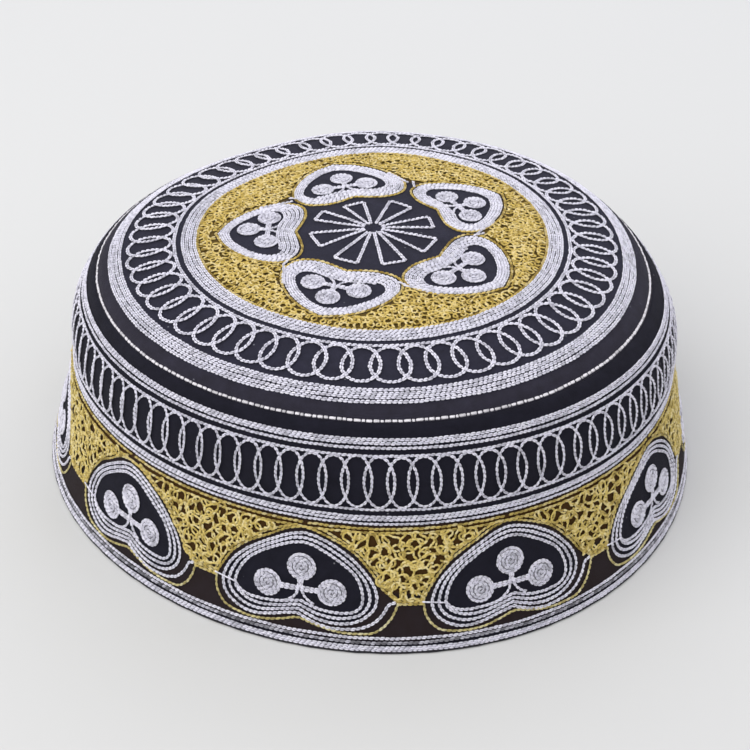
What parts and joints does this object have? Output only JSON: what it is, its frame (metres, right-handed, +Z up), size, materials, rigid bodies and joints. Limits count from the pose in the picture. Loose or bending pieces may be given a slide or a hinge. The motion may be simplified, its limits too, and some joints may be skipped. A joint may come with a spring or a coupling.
{
  "type": "embroidered prayer cap",
  "caption": "Round cloth prayer cap with a low domed top, a turned shoulder, a side band that flares to a narrow bound rim, and an open head hollow.",
  "frame": {"origin": "on the flat face that the cap rests on, at the middle of the outline seen from above", "axes": "+Z up through the middle of the top, -Y towards the front of the cap as the picture shows it, +X to its right"},
  "size_m": [0.1868, 0.1906, 0.0669],
  "materials": {
    "black_cloth": "matt black woven cloth with a faint blue cast",
    "binding_cloth": "matt black cloth binding",
    "white_thread": "silvery white chain stitched thread with a soft sheen",
    "gold_thread": "yellow gold chain stitched thread with a soft sheen"
  },
  "bodies": {
    "root": {"crown_top": "black_cloth", "side_band": "black_cloth", "rim_binding": "binding_cloth"}
  },
  "joints": []
}
